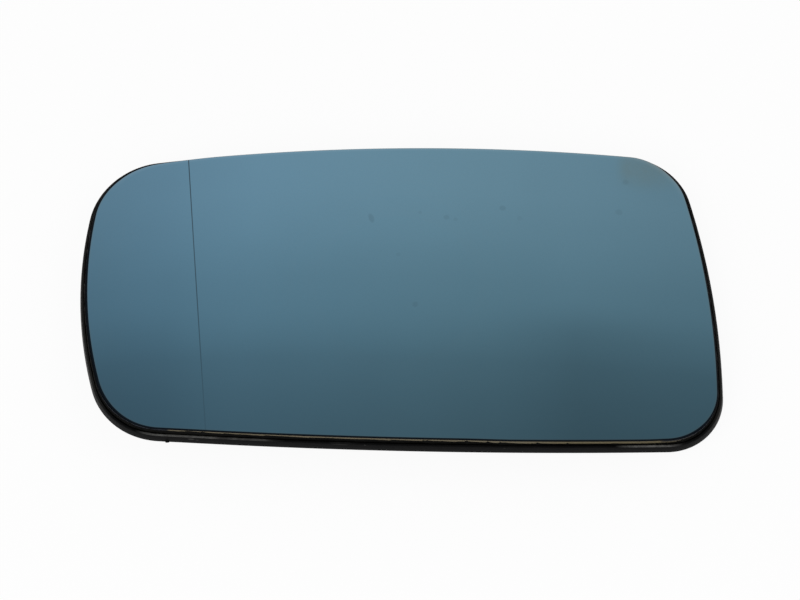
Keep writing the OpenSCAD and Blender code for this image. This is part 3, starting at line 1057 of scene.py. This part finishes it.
def socket_collar(plastic):
    """Collar under the plate: springy fingers below, a closed ring and the socket's end above."""
    fingers = [
        (SOCKET_R, SLOT_H), (SOCKET_R, SNAP_HIGH), (SNAP_R, SNAP_HIGH), (SNAP_R, SNAP_LOW),
        (SOCKET_R, SNAP_LOW), (SOCKET_R, LEAD_IN), (SOCKET_R + LEAD_IN, 0.0), (COLLAR_R, 0.0),
        (COLLAR_R, GROOVE_LOW), (GROOVE_R, GROOVE_LOW),
        (GROOVE_R, GROOVE_HIGH), (COLLAR_R, GROOVE_HIGH), (COLLAR_R, SLOT_H),
    ]
    end = SOCKET_DEPTH
    floor_z = surface_z((0, COLLAR_R), FLOOR_BOTTOM)
    closed = [
        (0, end), (1.4, end), (1.7, end - 0.35), (2.3, end - 0.35), (2.7, end), (SOCKET_R - 0.3, end),
        (SOCKET_R, end - 0.3), (SOCKET_R, SLOT_H), (COLLAR_R, SLOT_H), (COLLAR_R, floor_z - 0.9),
        (COLLAR_R + 0.25, floor_z - 0.35), (COLLAR_R + 0.8, floor_z), (COLLAR_R + 0.9, floor_z + 0.6),
        (0, floor_z + 1.2),
    ]
    parts = [finger(fingers, tau * k / SLOT_COUNT) for k in range(SLOT_COUNT)]
    parts.append(new_object("ring", *revolve(closed, COLLAR_STEPS)))
    dress(joined("socket_collar", parts), 30, plastic, "black_plastic")


RIB_STEP = 4.0
RIB_FILLET = 0.4
RIB_ROUND = 0.3
RIB_DRAFT = 0.12


def rib_section(floor_z, free_z):
    """One side of a rib's section, from the floor to the free edge: half widths and heights."""
    free_half = RIB_HALF - RIB_DRAFT
    return [(RIB_HALF + RIB_FILLET, floor_z + 0.3), (RIB_HALF + RIB_FILLET, floor_z),
            (RIB_HALF + 0.1, floor_z - 0.12), (RIB_HALF, floor_z - RIB_FILLET),
            (free_half, free_z + RIB_ROUND), (free_half - 0.09, free_z + 0.09),
            (free_half - RIB_ROUND, free_z)]


def ribs(plastic):
    """Ribs from the collar to the rim."""
    edge = outline(-0.35)
    floor_edge = outline(FLOOR_OUT)
    start = (SOCKET_R + COLLAR_R) / 2
    parts = []
    for k in range(RIB_COUNT):
        a = tau * k / RIB_COUNT
        out = direction(a)
        side = left_of(out)
        last = reach(edge, a)
        far = reach(floor_edge, a)
        root_z = surface_z(out * start) - FLOOR_BOTTOM - RIB_ROOT_H
        end_z = surface_z(out * far) - FLOOR_BOTTOM - RIB_END_H
        steps = ceil((last - start) / RIB_STEP)
        rows = []
        for n in range(steps + 1):
            r = start + (last - start) * n / steps
            free_z = root_z + (end_z - root_z) * (r - start) / (far - start)
            half = rib_section(surface_z(out * r, FLOOR_BOTTOM), free_z)
            both = [(-w, z) for w, z in half] + [(w, z) for w, z in reversed(half)]
            rows.append([(*(out * r + side * w), z) for w, z in both])
        parts.append(loft("rib", rows))
    dress(joined("plate_ribs", parts), 35, plastic, "black_plastic")


# Places of the marks that the mould's ejector pins leave on the floor's underside
PIN_MARKS = (
    (42, 14), (42, -30), (66, 22), (80, 2), (74, -32), (-42, 14), (-42, -14), (-68, 24), (-80, 0),
    (-62, -30), (14, 40), (-14, 40), (14, -40), (-14, -40),
)
# Radius and height of a mark's section, from its sunk middle to its foot inside the floor
PIN_SECTION = ((0, -0.05), (2.0, -0.05), (2.1, -0.2), (2.6, -0.2), (2.75, 0.3), (0, 0.3))


def pin_marks(plastic):
    """Shallow round steps with a sunk middle, tilted as the floor is."""
    parts = []
    for x, y in PIN_MARKS:
        z = surface_z((x, y), FLOOR_BOTTOM)
        tilt = face_normal((x, y))
        points, faces = revolve(PIN_SECTION, 40)
        placed = [(x + p[0], y + p[1], z + p[2] - (tilt.x * p[0] + tilt.y * p[1]) / tilt.z) for p in points]
        parts.append(new_object("mark", placed, faces))
    dress(joined("ejector_marks", parts), 35, plastic, "black_plastic")


# Ring of wire

RING_STEPS = 150
BEND_STEPS = 8
WIRE_SIDES = 20
# Angles of the rows that round off the ends of the wire
DOME = [radians(d) for d in (80, 55, 30)]


def turned(p, a):
    return Vector((p[0] * cos(a) - p[1] * sin(a), p[0] * sin(a) + p[1] * cos(a)))


def ring_path():
    """Centre line of the open ring: a leg, a bend, three quarters of a turn, a bend and a leg."""
    hub = RING_R + RING_BEND_R
    legs = []
    for side, a in ((1, pi), (-1, pi * 2.5)):
        leg = [turned((hub + RING_LEG - WIRE_R, -side * RING_BEND_R), a),
               turned((hub + RING_LEG / 2, -side * RING_BEND_R), a)]
        for k in range(BEND_STEPS + 1):
            t = pi / 2 * k / BEND_STEPS
            leg.append(turned((hub - RING_BEND_R * sin(t), -side * RING_BEND_R * cos(t)), a))
        legs.append(leg)
    ring = [turned((RING_R, 0), pi + pi * 1.5 * k / RING_STEPS) for k in range(1, RING_STEPS)]
    return legs[0] + ring + legs[1][::-1]


def wire_row(middle, normal, r):
    """Points of the wire's section around a place on its centre line."""
    return [(*(middle + normal * across), RING_Z + up) for across, up in circle(r, WIRE_SIDES)]


def wire_end(p, away, normal):
    """Rows that round off an end of the wire, from its tip inward."""
    return [wire_row(p + away * WIRE_R * sin(d), normal, WIRE_R * cos(d)) for d in DOME]


def snap_ring(metal):
    path = ring_path()
    rows = []
    for i, p in enumerate(path):
        ahead = (path[min(i + 1, len(path) - 1)] - path[max(i - 1, 0)]).normalized()
        normal = -left_of(ahead)
        if i == 0:
            rows.extend(wire_end(p, -ahead, normal))
        rows.append(wire_row(p, normal, WIRE_R))
        if i == len(path) - 1:
            rows.extend(reversed(wire_end(p, ahead, normal)))
    dress(loft("retaining_ring", rows), 50, metal, "spring_wire", "snap_ring")


# Terminals

TIP_TAPER = 0.9
TIP_THIN = 0.22
TIP_LEN = 1.1
DIMPLE_R = 0.85
DIMPLE_UP = 2.6
DIMPLE_SIDES = 24
FOOT_STEPS = 6
# Inner radius of the bend between foot and blade, and the steps of the bend
BEND_R = 0.35
TURN_STEPS = 6
STRIP_EDGE = 0.1


def strip_row(points, half_w=BLADE_HALF_W):
    """Rounded corners of a flat strip's section, from its two surface points."""
    (outer_y, outer_z), (inner_y, inner_z) = points
    share = STRIP_EDGE / hypot(outer_y - inner_y, outer_z - inner_z)
    flat = half_w - STRIP_EDGE
    corners = ((-half_w, 1 - share), (-flat, 1.0), (flat, 1.0), (half_w, 1 - share),
               (half_w, share), (flat, 0.0), (-flat, 0.0), (-half_w, share))
    return [(w, inner_y + (outer_y - inner_y) * s, inner_z + (outer_z - inner_z) * s)
            for w, s in corners]


def terminal(name, side, metal, node):
    """A strip bent at a right angle: its foot lies under the film and its blade points down."""
    x = TERMINAL_X + side * TERMINAL_PITCH / 2
    front = TERMINAL_Y - BLADE_T / 2
    back = TERMINAL_Y + BLADE_T / 2
    foot_end = front + FOOT_LEN
    tip_z = surface_z((TERMINAL_X, TERMINAL_Y)) - FLOOR_BOTTOM - BLADE_LEN
    rows = []
    for k in range(FOOT_STEPS + 1):
        y = foot_end + (back + BEND_R - foot_end) * k / FOOT_STEPS
        top, low = surface_z((x, y), FILM_BOTTOM), surface_z((x, y), FLOOR_TOP)
        rows.append(strip_row(((y, top), (y, low))))
    top, low = surface_z((x, front), FILM_BOTTOM), surface_z((x, front), FLOOR_TOP)
    for k in range(1, TURN_STEPS):
        a = pi / 2 * k / TURN_STEPS
        outer = (back - BLADE_T * sin(a), top - BLADE_T * (1 - cos(a)))
        inner = (back + BEND_R * (1 - sin(a)), low - BEND_R * (1 - cos(a)))
        rows.append(strip_row((outer, inner)))
    for z in (low - BEND_R, low - 2.5, tip_z + 4.0, tip_z + TIP_LEN):
        rows.append(strip_row(((front, z), (back, z))))
    rows.append(strip_row(((front + TIP_THIN, tip_z), (back - TIP_THIN, tip_z)), BLADE_HALF_W - TIP_TAPER))
    # The foot follows the curve of the glass along X, and the blade below it stays straight
    placed = [[(x + w, y, z if z < low - 0.2 else z - (surface_z((x, y)) - surface_z((x + w, y))))
               for w, y, z in row] for row in rows]
    obj = loft(name, placed)
    hole = [[(x + across, y, tip_z + DIMPLE_UP + up) for across, up in circle(DIMPLE_R, DIMPLE_SIDES)]
            for y in (front - 1, back + 1)]
    cut(obj, [loft("hole", hole)])
    dress(obj, 28, metal, "plated_brass", node)


# Stage

# Level of the ceiling by its lean towards +Y or -Y, from overhead outward
CEILING = (
    (0.0, 0.155), (0.20, 0.160), (0.30, 0.175), (0.35, 0.193), (0.39, 0.220),
    (0.43, 0.255), (0.45, 0.290), (0.47, 0.320), (0.49, 0.342), (0.53, 0.368),
    (0.59, 0.425), (0.65, 0.465), (0.72, 0.480), (0.85, 0.50), (1.0, 0.55),
)
# Share of the ceiling's light by place along X: far over and overhead
SIDEWAYS = (
    (-0.45, 0.83, 0.80), (-0.39, 0.865, 0.83), (-0.28, 0.935, 0.90), (-0.17, 1.04, 1.04),
    (-0.09, 1.035, 1.035), (0.0, 1.01, 1.01), (0.087, 0.98, 0.925), (0.17, 0.94, 0.775),
    (0.26, 0.88, 0.775), (0.31, 0.84, 0.775), (0.45, 0.74, 0.71),
)
# Leans between which the overhead share takes over
OVERHEAD = (0.515, 0.460)
# Heights between which the ceiling gives way to white, and the least height reckoned with
HORIZON = (0.72, 0.30)
LEAST_HEIGHT = 0.02
# Tints overhead and far over, the leans between which they change, and the tint towards the outer end
# with the places along X between which it comes in
OVERHEAD_COLOUR = (0.955, 1.0, 1.0)
FAR_COLOUR = (1.05, 1.0, 0.985)
FAR_LEAN = (0.42, 0.70)
COOL_CAST = (0.95, 0.99, 1.06)
COOL_PLACE = (0.1, -0.35)


def world():
    """Bright near the horizon and dim overhead, as a studio with a dark ceiling."""
    SCENE.world = bpy.data.worlds.new("studio")
    tree = Tree(SCENE.world)
    place = tree.node("ShaderNodeTexCoord").outputs["Generated"]
    x, y, z = tree.node("ShaderNodeSeparateXYZ", place).outputs
    up = tree.math("MAXIMUM", z, LEAST_HEIGHT)
    lean = tree.math("DIVIDE", tree.math("ABSOLUTE", y), up)
    sideways = tree.math("DIVIDE", x, up)
    overhead = tree.range(lean, *OVERHEAD)
    far = tree.math("SUBTRACT", 1.0, overhead)
    share = tree.math("ADD", tree.product(overhead, tree.table(sideways, SIDEWAYS, 2)),
                      tree.product(far, tree.table(sideways, SIDEWAYS, 1)))
    level = tree.product(tree.table(lean, CEILING), share)
    cast = tree.mix(tree.range(lean, *FAR_LEAN), OVERHEAD_COLOUR, FAR_COLOUR)
    cast = tree.mix(tree.range(sideways, *COOL_PLACE), cast, COOL_CAST, "MULTIPLY")
    sky = tree.mix(1.0, level, cast, "MULTIPLY")
    white = tree.mix(tree.range(z, *HORIZON), sky, (1.0, 1.0, 1.0))
    tree.set(tree.nodes["Background"].inputs["Color"], white)


# Half the side of the floor in metres, and how far below the part it lies in millimetres
FLOOR_HALF = 4.0
FLOOR_BELOW = 0.02
# Share of plain white in the floor as seen. The rest is lit and keeps the shadow
FLOOR_WHITE = 0.92


def floor():
    """A pale sheet under the part, clear from below, so that the underside can be seen."""
    half = FLOOR_HALF / MM
    corners = [(x * half, y * half, -FLOOR_BELOW) for x, y in ((-1, -1), (1, -1), (1, 1), (-1, 1))]
    obj = new_object("floor", corners, [(0, 1, 2, 3)])
    tree = material("pale_floor", Specular_IOR_Level=0.0)
    paper = tree.noise(tree.millimetres()[0], 0.02)
    clad(obj, tree.surface(tree.mix(paper, (0.92,) * 3, (0.94,) * 3), 0.9))
    white = tree.node("ShaderNodeEmission").outputs[0]
    clear = tree.node("ShaderNodeBsdfTransparent").outputs[0]
    path = tree.node("ShaderNodeLightPath").outputs
    seen = tree.math("MAXIMUM", path["Is Camera Ray"], path["Is Glossy Ray"])
    seen = tree.math("MAXIMUM", seen, path["Is Transmission Ray"])
    shown = tree.math("MULTIPLY", seen, FLOOR_WHITE)
    lit = tree.node("ShaderNodeMixShader", shown, tree.shader().outputs[0], white).outputs[0]
    below = tree.node("ShaderNodeNewGeometry").outputs["Backfacing"]
    both = tree.node("ShaderNodeMixShader", below, lit, clear).outputs[0]
    tree.set(tree.nodes["Material Output"].inputs["Surface"], both)


# Square lamps: name, place and size in metres, and watts
LAMPS = (("key", (-0.45, -0.75, 1.15), 1.0, 9.0), ("fill", (0.9, 0.2, 0.9), 0.8, 3.0))


def lamp(name, place, size, watts):
    """A lamp that points at the part and doesn't show in the mirror."""
    data = bpy.data.lights.new(name, "AREA")
    data.shape = "SQUARE"
    data.size = size
    data.energy = watts
    obj = linked(name, data)
    obj.location = place
    obj.rotation_euler = (-Vector(place)).to_track_quat("-Z", "Y").to_euler()
    obj.visible_glossy = False


# The photo's view: what it is aimed at and its distance in metres, its height, its turn and its lens
VIEW_AIM = Vector((0.00068, -0.00449, 0.0156))
VIEW_DISTANCE = 0.5785
VIEW_HEIGHT = radians(63.0)
VIEW_TURN = radians(-1.26)
VIEW_LENS = 90.0


def camera():
    data = bpy.data.cameras.new("view")
    data.lens = VIEW_LENS
    data.clip_start = 0.01
    data.clip_end = 50.0
    obj = linked("view", data)
    obj.rotation_euler = (pi / 2 - VIEW_HEIGHT, 0.0, -VIEW_TURN)
    obj.location = VIEW_AIM + obj.rotation_euler.to_matrix() @ Vector((0.0, 0.0, VIEW_DISTANCE))
    SCENE.camera = obj


camera()
world()
floor()
for lamp_row in LAMPS:
    lamp(*lamp_row)

ADHESIVE = black_adhesive()
MATT = matt_plastic()
SATIN = satin_plastic()
METAL = plated_brass()
glass_pane()
adhesive_bead(ADHESIVE)
moulding(MATT, SATIN)
gate_stub(MATT)
socket_collar(SATIN)
ribs(SATIN)
pin_marks(SATIN)
snap_ring(spring_wire())
terminal("blade_left", -1, METAL, "terminal_left")
terminal("blade_right", 1, METAL, "terminal_right")
NODES["heater_film"].material_slots[0].material = amber_film()
NODES["adhesive_sheet"].material_slots[0].material = ADHESIVE

SCENE.view_settings.view_transform = "Standard"
